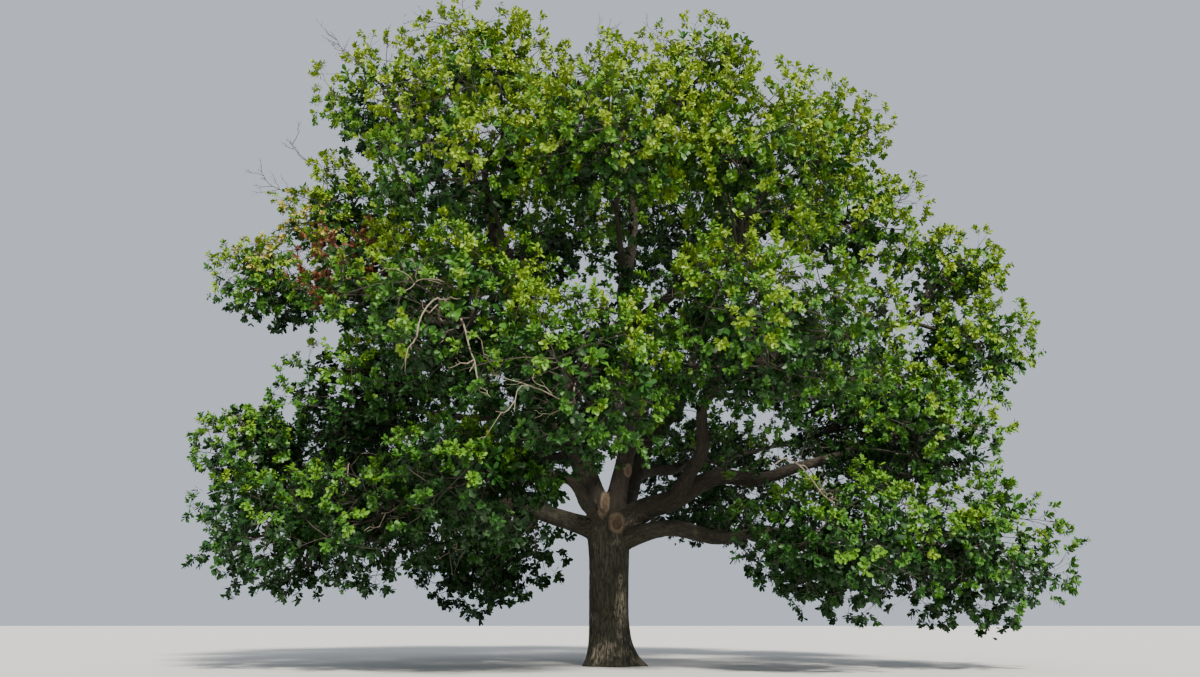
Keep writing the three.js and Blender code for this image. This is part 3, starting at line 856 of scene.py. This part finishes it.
# Three-sided spikes, for the finest twigs
def spikeMesh(starts, ends, radius):
    ways = ends - starts
    across = acrossWays(ways, 0.8 * norm(ways, axis=1)[:, None])
    ring = ringsRound(starts, radius, across, unitRows(cross(across, ways)), 3)
    verts = concatenate((ring, ends[:, None]), axis=1).reshape(-1, 3)
    corners = array(((0, 3, 1), (1, 3, 2), (2, 3, 0), (0, 1, 2)))
    return verts, (corners[None] + 4 * arange(len(starts))[:, None, None]).reshape(-1, 3)


# A leaf of three faces along x, wider past its middle, uneven and folded along its midrib
leafOutline = array(((0, 0, 0), (0.42, 0.21, 0.05), (0.84, 0.25, 0.01), (1, -0.03, -0.04),
                        (0.6, -0.3, 0.05)))
leafFaces = array(((0, 4, 3), (0, 3, 2), (0, 2, 1)))


def leafMesh(name, spots, ways, ups, sizes, colours):
    side = unitRows(cross(ups, ways))
    face = cross(ways, side)
    along, aside, off = (leafOutline[None, :, i:i + 1] for i in range(3))
    shape = along * ways[:, None] + aside * side[:, None] + off * face[:, None]
    verts = (spots[:, None] + sizes[:, None, None] * shape).reshape(-1, 3)
    faces = (leafFaces[None] + arange(len(spots))[:, None, None] * len(leafOutline)).reshape(-1, 3)
    mesh = bpy.data.meshes.new(name)
    mesh.vertices.add(len(verts))
    mesh.vertices.foreach_set("co", verts.astype(np.float32).ravel())
    mesh.loops.add(faces.size)
    mesh.loops.foreach_set("vertex_index", faces.astype(np.int32).ravel())
    mesh.polygons.add(len(faces))
    mesh.polygons.foreach_set("loop_start", arange(0, faces.size, 3, dtype=np.int32))
    for material in leafMaterials:
        mesh.materials.append(material)
    mesh.polygons.foreach_set("material_index", np.repeat(colours, len(leafFaces)).astype(np.int32))
    mesh.update(calc_edges=True)
    return mesh


# How bright the painted light on a spray is, as a place in the row of leaf colours: painted sunlight
# where it faces the sun and lies outward and high, painted shade deep in its mass and low in the crown,
# with less painted sunlight allowed the lower it is
sunward = unit(array((0.26, -0.68, 0.68)))
paintedLight = {"outward": 0.45, "facing": 0.35, "depth": 0.25, "level": 0.35, "farOut": 0.046, "farFrom": 9,
        "higher": 0.036, "lower": 0.018, "evenAt": 12, "base": 1.04, "gain": 4.2, "play": 0.12,
        "cap": 3.5, "capGain": 0.13, "capFrom": 7, "brightest": 5}
oddSprays = [  # middle, reach, share of the sprays there, colour
    {"at": (-10.5, -3.4, 15.1), "reach": 1.9, "share": 0.8, "colour": "rustLeaf"},
    {"at": (-13.2, -1.2, 16.6), "reach": 2.2, "share": 0.4, "colour": "yellowLeaf"},
]


def sprayLight(spray, space, dice):
    middle = (spray["root"] + spray["tip"]) / 2
    out = unit(middle - (0, 0, growth["crownHeart"]))
    depth = norm((middle - space["middle"]) * roundness) / space["spread"]
    light = paintedLight["outward"] * (out @ sunward) + paintedLight["facing"] * (spray["out"] @ sunward)
    light += paintedLight["depth"] * depth
    light += paintedLight["level"] * (middle[2] - space["middle"][2]) / space["spread"]
    light += paintedLight["farOut"] * max(0, hypot(middle[0], middle[1]) - paintedLight["farFrom"])
    rise = middle[2] - paintedLight["evenAt"]
    light += (paintedLight["higher"] if rise > 0 else paintedLight["lower"]) * rise
    colour = paintedLight["base"] + paintedLight["gain"] * (light + dice.normal(0, paintedLight["play"]))
    cap = paintedLight["cap"] + paintedLight["capGain"] * max(0, middle[2] - paintedLight["capFrom"])
    return min(colour - spray["kind"]["darker"], cap)


# A shoot's leaf colour: one of the odd ones near the odd sprays, otherwise the one that its painted
# light calls for
def shootColour(spot, level, dice):
    for odd in oddSprays:
        if norm(spot - odd["at"]) < odd["reach"] and dice.random() < odd["share"]:
            return list(leafColours).index(odd["colour"])
    return int(clip(level, 0, paintedLight["brightest"]))


def inBox(spots):
    spots = np.atleast_2d(spots)
    low, high = array(boxAtLoad[0]) - finer["proud"], array(boxAtLoad[1]) + finer["proud"]
    return ((spots > low) & (spots < high)).all(axis=1)


# One spray: an arched axis, twigs to both sides, and shoots that fork from them
form = {"axisRadius": (0.022, 0.005), "leastTwigs": 3, "leastRun": 0.25, "runPlay": (0.75, 1.05),
        "lean": (0.6, 1.0), "twigOut": 0.4, "paintedLight": (-1.2, 0.5), "tonePlay": 0.4, "tipLight": 0.4,
        "shootsAt": (0.62, 0.95), "shootLength": (0.16, 0.3), "shootAside": 0.95, "shootOut": 0.25,
        "shootTone": 0.2}


# Each shoot is its start, way, length, number of leaves, outward way, level of painted light and leaf
# length
def leafySpray(spray, light, dice, axes, shoots):
    root, tip, along, side, length, out, kind = spray.values()
    face, size = cross(along, side), kind["leafLength"]
    arch = face * length * dice.uniform(0.0, 0.12) + side * length * dice.normal(0, 0.05)
    t = linspace(0, 1, 4)[:, None]
    axis = root * (1 - t) + tip * t + arch * 4 * t * (1 - t)
    axes.append((axis, mix(*form["axisRadius"], t[:, 0]) * (0.6 + 0.2 * length)))
    last, ends = axis[3] - axis[2], kind["endLeaves"]
    # The end shoot of a spray gets more painted sunlight
    shoots.append((axis[2], unit(last), norm(last), ends + 2, out, light + form["tipLight"], size))
    count = max(form["leastTwigs"], round(kind["sideTwigs"] * length))
    for i in range(count):
        at = 0.12 + 0.8 * (i + dice.random()) / count
        half = length * growth["width"] / 2
        half *= at / growth["widest"] if at < growth["widest"] else (1 - at) / (1 - growth["widest"])
        start = root * (1 - at) + tip * at + arch * 4 * at * (1 - at)
        lean = dice.uniform(*form["lean"])
        way = along * cos(lean) + side * (sin(lean) * (-1) ** i)
        way = unit(way + face * dice.normal(0, form["twigOut"]))
        run = max(form["leastRun"], half / sin(lean) * dice.uniform(*form["runPlay"]))
        # Painted shade on the inner twigs of a spray, painted sunlight towards its tip
        level = light + mix(*form["paintedLight"], at) + dice.normal(0, form["tonePlay"])
        shoots.append((start, way, run, ends, out, level, size))
        for j in range(kind["shoots"]):
            fork = start + way * run * dice.uniform(*form["shootsAt"])
            aside = unit(way + unit(dice.normal(0, 1, 3)) * form["shootAside"] + out * form["shootOut"])
            shoots.append((fork, aside, dice.uniform(*form["shootLength"]), kind["shootLeaves"], out,
                           level + dice.normal(0, form["shootTone"]), size))


# How leaves stand on a shoot: bunched at its end, in even turns, tilted more towards its tip
stand = {"run": (0.6, 0.2), "bunching": 1.3, "tilt": 0.5, "tiltGain": 0.75, "tiltPlay": 0.22,
         "droop": 0.12, "upAlong": 0.6, "upOut": 0.7, "up": (0, 0, 0.45), "upPlay": 0.26,
         "sizePlay": (0.72, 1.15), "slack": 0.12, "twigSlack": 0.15, "twigRadius": 0.008}


def leavesOnShoots(starts, ways, runs, counts, outs, dice):
    pick = np.repeat(arange(len(starts)), counts)
    order = arange(len(pick)) - np.repeat(np.cumsum(counts) - counts, counts)
    share, longest = stand["run"]
    reach = np.minimum(share * runs[pick], longest) * (order / counts[pick]) ** stand["bunching"]
    turns = order * fullTurn * goldenTurn + dice.uniform(0, 6.3, len(starts))[pick]
    tilts = stand["tilt"] + stand["tiltGain"] * order / counts[pick]
    tilts += dice.normal(0, stand["tiltPlay"], len(pick))
    along = ways[pick]
    across = acrossWays(along, 0.9)
    around = np.cos(turns)[:, None] * across + np.sin(turns)[:, None] * cross(across, along)
    leafWays = np.cos(tilts)[:, None] * along + np.sin(tilts)[:, None] * around
    leafWays[:, 2] -= stand["droop"]
    ups = along * stand["upAlong"] + outs[pick] * stand["upOut"] + stand["up"]
    ups += dice.normal(0, stand["upPlay"], (len(pick), 3))
    return starts[pick] + along * (runs[pick] - reach)[:, None], unitRows(leafWays), ups, pick


# Dead limbs, pale and curved, and bare twigs at the crown's edge: what each grows from, where
# along it, where its tip is, radius at the root, and how far it arches up
deadRows = """
mass front_left 0.97 -5.5 -11.8 9.3 0.065 0.8
mass front_left 0.9 -4.0 -11.6 8.3 0.055 0.5
mass front_left 1 -5.9 -11.9 10.6 0.04 0.3
bough left_low 0.9 -8.9 -6.2 5.6 0.045 0.3
bough left_low_inner 0.9 -7.1 -7.7 4.8 0.04 0.2
bough left_low_inner 0.6 -5.0 -6.6 3.0 0.04 -0.1
mass right_low_inner 0.9 5.15 -9.0 6.3 0.045 0.4
mass front_centre 0.8 -2.6 -12.8 6.9 0.035 0.5
"""
bareRows = """
mass upper_left_low 0.97 -14.1 0.2 22.0 0.035 0
mass upper_left_low 0.97 -15.2 -0.2 20.4 0.03 0
mass upper_left_low 0.97 -14.4 0.0 17.6 0.025 0
mass upper_left 0.97 -9.2 -3.6 25.0 0.03 0
mass upper_left 0.97 -11.7 -3.0 25.4 0.035 0
mass top_left 0.97 -7.7 -5.4 24.6 0.03 0
mass right_upper 0.97 13.1 -1.5 19.5 0.03 0
mass right_upper 0.97 13.0 -1.0 18.4 0.025 0
mass top_centre 0.97 0.1 -4.0 25.3 0.025 0
mass top_right 0.97 1.4 -4.2 25.0 0.025 0
mass left_level_tip 0.97 -16.0 -1.2 15.7 0.025 0
mass left_level_tip 0.97 -15.4 -1.5 14.1 0.025 0
mass back_left 0.97 -8.4 10.6 17.6 0.03 0
mass back_right 0.97 12.0 10.4 16.6 0.03 0
mass back_centre 0.97 -1.6 14.6 14.6 0.03 0
"""
crooked = {"points": 16, "forkPoints": 6, "bend": 0.22, "ripple": 0.3, "tip": 0.22, "levels": 2,
           "forks": 4, "fewer": 2, "forksAt": (0.3, 0.95), "forkAngle": 0.75, "anglePlay": (0.6, 1.2),
           "shorter": 0.36, "lengthPlay": (0.4, 1), "thinner": 0.5, "margin": 0.12}
bare = crooked | {"bend": 0.16, "forks": 9, "fewer": 4, "shorter": 0.3}


def crookedLimb(root, tip, radius, arch, dice, depth, runs, rule):
    span = norm(tip - root)
    t = linspace(0, 1, rule["forkPoints"] if depth else rule["points"])[:, None]
    aside, over = unit(dice.normal(0, 1, 3)), unit(dice.normal(0, 1, 3))
    wave = np.sin(pi * t) * span * rule["bend"]
    path = root * (1 - t) + tip * t + aside * wave * np.cos(2.6 * t + dice.uniform(0, 3))
    ripple = over * rule["ripple"] * wave * np.sin(9 * t + dice.uniform(0, 6))
    path += ripple + np.sin(pi * t) * (0, 0, arch)
    runs.append((path, mix(radius, radius * rule["tip"] + 0.002, t[:, 0] ** 0.8)))
    if depth == rule["levels"]:
        return
    forks = rule["forks"] - rule["fewer"] * depth
    for i in range(forks):
        at = round(mix(*rule["forksAt"], (i + dice.random()) / forks) * (len(path) - 1))
        way = unit(path[min(at + 1, len(path) - 1)] - path[at - 1])
        way = tilted(way, rule["forkAngle"] * dice.uniform(*rule["anglePlay"]), dice)
        end = path[at] + way * span * rule["shorter"] * dice.uniform(*rule["lengthPlay"])
        if inBox(end - rule["margin"])[0] and inBox(end + rule["margin"])[0]:
            crookedLimb(path[at], end, radius * rule["thinner"], 0, dice, depth + 1, runs, rule)


def crookedLimbs(table, dice, rule):
    runs = []
    for kind, name, *numbers in rowsOf(table):
        at, x, y, z, radius, arch = map(float, numbers)
        isMass = kind == "mass"
        carrier = next(s for s in stems if s["space"]["name"] == name) if isMass else limbs[name]
        crookedLimb(carrier["line"](at), array((x, y, z)), radius, arch, dice, 0, runs, rule)
    return runs


dice = np.random.default_rng(7)
deadRuns = crookedLimbs(deadRows, dice, crooked)
bareRuns = crookedLimbs(bareRows, dice, bare)
for name, runs, sides, material in (("deadLimbs", deadRuns, 6, deadWood),
                                    ("bareTwigs", bareRuns, 4, twigBark)):
    shape = twigMesh(runs, sides)
    addWood(name, shape, [len(face) == 4 for face in shape[1]], material)
print("dead limbs", len(deadRuns), "bare twigs", len(bareRuns))

# Leaves keep clear of the outer two thirds of the thicker dead limbs
clearings = concatenate([path[len(path) // 3:] for path, radii in deadRuns if radii[0] > 0.02])


def isClear(spots, gap=0.4):
    return norm(spots[:, None] - clearings[None], axis=2).min(axis=1) > gap


totals = {"sprays": 0, "leaves": 0}


# Leaves and twigs of some sprays, as two pieces; within tells which spots they may take
def dressSprays(label, thick, sprays, lights, dice, within):
    axes, shoots = [], []
    for spray, light in zip(sprays, lights):
        leafySpray(spray, light, dice, axes, shoots)
    starts, ways, runs, counts, outs, levels, lengths = map(array, zip(*shoots))
    colours = array([shootColour(start, level, dice) for start, level in zip(starts, levels)])
    spots, leafWays, ups, pick = leavesOnShoots(starts, ways, runs, counts, outs, dice)
    sizes = lengths[pick] * dice.uniform(*stand["sizePlay"], len(spots))
    kept = within(spots, stand["slack"]) & inBox(spots + leafWays * sizes[:, None]) & isClear(spots)
    leaves = leafMesh(f"leaves_{label}", spots[kept], leafWays[kept], ups[kept], sizes[kept],
                      colours[pick][kept])
    ends = starts + ways * runs[:, None]
    grown = within(ends, stand["twigSlack"]) & inBox(ends)
    thickVerts, thickFaces = twigMesh(thick, 6)
    axisVerts, axisFaces = twigMesh(axes, 3)
    shootVerts, shootFaces = spikeMesh(starts[grown], ends[grown], stand["twigRadius"])
    faces = thickFaces + [tuple(v + len(thickVerts) for v in face) for face in axisFaces]
    smooth = [len(face) == 4 for face in thickFaces] + [False] * (len(axisFaces) + len(shootFaces))
    faces += (shootFaces + len(thickVerts) + len(axisVerts)).tolist()
    verts = concatenate((thickVerts, axisVerts, shootVerts))
    addWood(f"twigs_{label}", (verts, faces), smooth, twigBark)
    totals["sprays"] += len(sprays)
    totals["leaves"] += int(kept.sum())
    return addPiece(leaves)


# The stem of each mass, which runs a little back into its bough
stemWood = {"alone": 0.85, "shared": 0.72, "tip": 0.045}
for stem in stems:
    space, limb = stem["space"], stem["limb"]
    dice = np.random.default_rng(100 + space["seed"])
    radius = limb["tip"] * stemWood["alone" if len(limb["carried"]) == 1 else "shared"]
    shares = linspace(-0.06, 1, 12)
    trail = array([stem["line"](t) for t in shares])
    thick = [(trail, mix(radius, stemWood["tip"], clip(shares, 0, 1) ** 0.8))]
    sprays = []
    for branch in massBranches(stem):
        thick.append((branch["path"], linspace(*finer["branchRadius"], finer["branchPoints"])))
        sprays += list(whorlSprays(stem, branch)) + list(innerSprays(stem, branch, dice))
    lights = [sprayLight(spray, space, dice) for spray in sprays]
    leaves = dressSprays(space["name"], thick, sprays, lights, dice,
                         lambda spots, slack: isInside(space, spots, slack))
    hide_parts(f"foliage_{space['name']}")

# Leafy side sprays on the boughs, which close the crown between its masses
boughSprays = {"spacing": 0.36, "until": 0.97, "length": (0.9, 2.3), "angle": (45, 85), "hang": 0,
               "fork": (0, 0, 6), "bare": 4.4, "lowestTip": 1.5, "up": (0, 0, 0.6), "paintedLight": 1.35,
               "sunwardGain": 2.2, "tonePlay": 0.4}
hangingSprays = boughSprays | {"spacing": 0.11, "length": (1.4, 2.9), "bare": 2.6, "hang": 1}


def spraysOnBough(limb, dice):
    rule = hangingSprays if limb["name"] == "drooping" else boughSprays
    low = 0.0 if limb["parent"] else limb["start"]
    for t in arange(low, rule["until"], rule["spacing"] / limb["length"]):
        root = limb["line"](t)
        towards = tilted(heading(limb["line"], t), radians(dice.uniform(*rule["angle"])), dice)
        towards = unit(towards - (0, 0, rule["hang"]))
        tip = root + towards * dice.uniform(*rule["length"])
        if norm(root - rule["fork"]) < rule["bare"]:
            continue
        corners, spray = sprayOutline(root, tip, (0, 0, 1))
        if inBox(corners).all() and tip[2] > rule["lowestTip"] and not touchesWood(corners, None):
            yield spray | {"out": unit(towards + rule["up"]), "kind": boughSpray}


dice = np.random.default_rng(41)
sprays = [spray for limb in limbs.values() for spray in spraysOnBough(limb, dice)]
# Painted light on the bough sprays: brighter as they face the sun, less the painted shade of their kind
lights = [boughSprays["paintedLight"] + boughSprays["sunwardGain"] * (spray["out"] @ sunward)
          + dice.normal(0, boughSprays["tonePlay"]) - boughSpray["darker"] for spray in sprays]
first = sprays[0]
stub = first["root"] + np.outer((0, 1), first["along"] * 0.1)  # twigMesh needs one thick twig
dressSprays("boughs", [(stub, array((0.02, 0.02)))], sprays, lights, dice,
            lambda spots, slack: spots[:, 2] > growth["lowestLeaf"])
print("foliage", totals)

# Floor, light and world
floor = {"size": 600, "colour": (0.6, 0.59, 0.56)}
bm = bmesh.new()
bmesh.ops.create_grid(bm, x_segments=1, y_segments=1, size=floor["size"] / 2)
floorMesh = bpy.data.meshes.new("floor")
bm.to_mesh(floorMesh)
bm.free()
floorPiece = bpy.data.objects.new("floor", floorMesh)
floorPiece.data.materials.append(newMaterial("paleFloor", 0.9, floor["colour"])[0])
linkObject(floorPiece)

studio = {"sun": 8, "sunSize": 8, "sunColour": (1, 0.96, 0.87), "sky": (0.8, 0.88, 1), "skyLight": 0.72}
sunLamp = bpy.data.lights.new("softSun", "SUN")
sunLamp.energy, sunLamp.angle = studio["sun"], radians(studio["sunSize"])
sunLamp.color = studio["sunColour"]
sunObject = bpy.data.objects.new("softSun", sunLamp)
sunObject.rotation_euler = Vector(sunward).to_track_quat("Z", "Y").to_euler()
linkObject(sunObject)
world = bpy.data.worlds.new("paleSky")
world.use_nodes = True
background = world.node_tree.nodes["Background"].inputs
background["Color"].default_value = (*studio["sky"], 1)
background["Strength"].default_value = studio["skyLight"]
bpy.context.scene.world = world
print("stage and light set")
